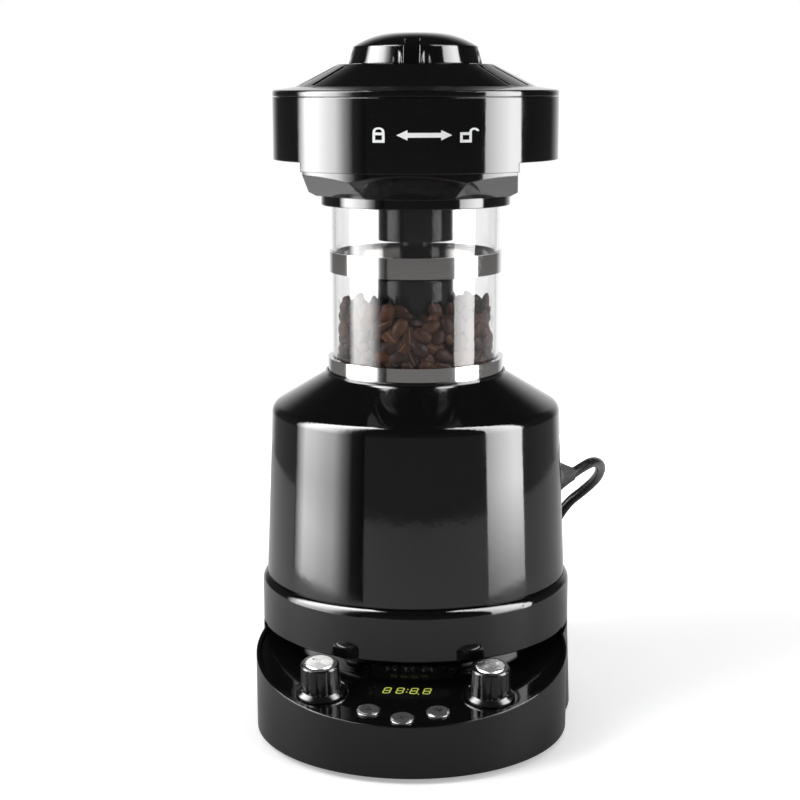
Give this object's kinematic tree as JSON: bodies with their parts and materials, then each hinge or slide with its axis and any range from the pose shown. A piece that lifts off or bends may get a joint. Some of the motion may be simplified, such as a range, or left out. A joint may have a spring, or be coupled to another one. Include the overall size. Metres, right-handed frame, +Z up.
{
  "type": "home coffee bean roaster",
  "caption": "Countertop hot-air coffee roaster with a lift-out glass chamber, a chaff collector with a twist-lock cover, and a round control console with two dials and three keys.",
  "frame": {"origin": "on the surface it stands on, under the middle of the footprint of base and console", "axes": "+Z up along the roasting chamber, -Y towards the front with the dials and keys, +X to the right seen from the front"},
  "size_m": [0.2041, 0.3102, 0.3842],
  "materials": {
    "gloss_black": "gloss",
    "satin_black": "satin",
    "panel_black": "gloss",
    "rubber": "matt",
    "glass": "clear",
    "display_tint": "tinted window",
    "steel": "brushed",
    "dark_steel": "brushed",
    "spun_aluminium": "spun",
    "grey_button": "gloss",
    "board_green": "matt",
    "white_plastic": "matt",
    "mica": "matt",
    "silicone": "matt",
    "cord_rubber": "satin"
  },
  "bodies": {
    "base": {"base_shell": "gloss_black", "base_cover": "satin_black", "foot_back_right": "rubber", "foot_back_left": "rubber", "foot_front_right": "rubber", "foot_front_left": "rubber", "control_panel": "panel_black", "display_window": "display_tint", "display_module": "white_plastic", "control_board": "board_green", "fan_potentiometer": "dark_steel", "heat_potentiometer": "dark_steel", "switch_up": "satin_black", "switch_power": "satin_black", "switch_down": "satin_black", "housing_shell": "gloss_black", "mouth_ring": "gloss_black", "blower_housing": "white_plastic", "blower_motor": "dark_steel", "heater_duct": "steel", "heater_frame": "mica", "heater_coil": "dark_steel", "socket_ring": "steel", "socket_seat": "steel", "thermostat": "dark_steel", "strain_relief": "cord_rubber", "cord": "cord_rubber", "cord_coil": "cord_rubber", "cord_tail": "cord_rubber", "plug": "cord_rubber"},
    "chamber": {"chamber_ring": "steel", "plate_seat": "steel", "glass_tube": "glass", "middle_band": "steel", "air_plate": "steel", "chamber_column": "satin_black", "chamber_post": "satin_black"},
    "collector": {"collector_cup": "gloss_black", "gasket": "silicone", "collector_drum": "gloss_black", "collector_tube": "satin_black"},
    "filter": {"filter_screen": "steel"},
    "cover": {"top_cover": "gloss_black", "top_knob": "gloss_black"},
    "fan_dial": {"fan_shaft": "steel", "fan_knob": "satin_black", "fan_knob_cap": "spun_aluminium"},
    "heat_dial": {"heat_shaft": "steel", "heat_knob": "satin_black", "heat_knob_cap": "spun_aluminium"},
    "up_key": {"button_up": "grey_button"},
    "power_key": {"button_power": "grey_button"},
    "down_key": {"button_down": "grey_button"},
    "rotor": {"motor_shaft": "steel", "impeller": "white_plastic"}
  },
  "joints": [
    {"name": "chamber_lift", "type": "slide", "parent": "base", "child": "chamber", "axis": [0, 0, 1], "range_m": [0, 0.12]},
    {"name": "collector_lift", "type": "slide", "parent": "chamber", "child": "collector", "axis": [0, 0, 1], "range_m": [0, 0.12]},
    {"name": "cover_lift", "type": "slide", "parent": "collector", "child": "filter", "axis": [0, 0, 1], "range_m": [0, 0.08]},
    {"name": "cover_twist", "type": "hinge", "parent": "filter", "child": "cover", "pos_m": [0, 0.01775, 0.3502], "axis": [0, 0, 1], "range_deg": [0, 20]},
    {"name": "fan_turn", "type": "hinge", "parent": "base", "child": "fan_dial", "pos_m": [-0.0454, -0.07269, 0.03608], "axis": [0, -0.1736, 0.9848], "range_deg": [-210, 90]},
    {"name": "heat_turn", "type": "hinge", "parent": "base", "child": "heat_dial", "pos_m": [0.0454, -0.07269, 0.03608], "axis": [0, -0.1736, 0.9848], "range_deg": [-210, 90]},
    {"name": "up_press", "type": "slide", "parent": "base", "child": "up_key", "axis": [0, 0.1736, -0.9848], "range_m": [0, 0.0008], "stiffness_N_per_m": 600, "springref_m": -0.0004},
    {"name": "power_press", "type": "slide", "parent": "base", "child": "power_key", "axis": [0, 0.1736, -0.9848], "range_m": [0, 0.0008], "stiffness_N_per_m": 600, "springref_m": -0.0004},
    {"name": "down_press", "type": "slide", "parent": "base", "child": "down_key", "axis": [0, 0.1736, -0.9848], "range_m": [0, 0.0008], "stiffness_N_per_m": 600, "springref_m": -0.0004},
    {"name": "blower_spin", "type": "hinge", "parent": "base", "child": "rotor", "pos_m": [0, 0.01775, 0.015], "axis": [0, 0, 1], "continuous": true}
  ]
}
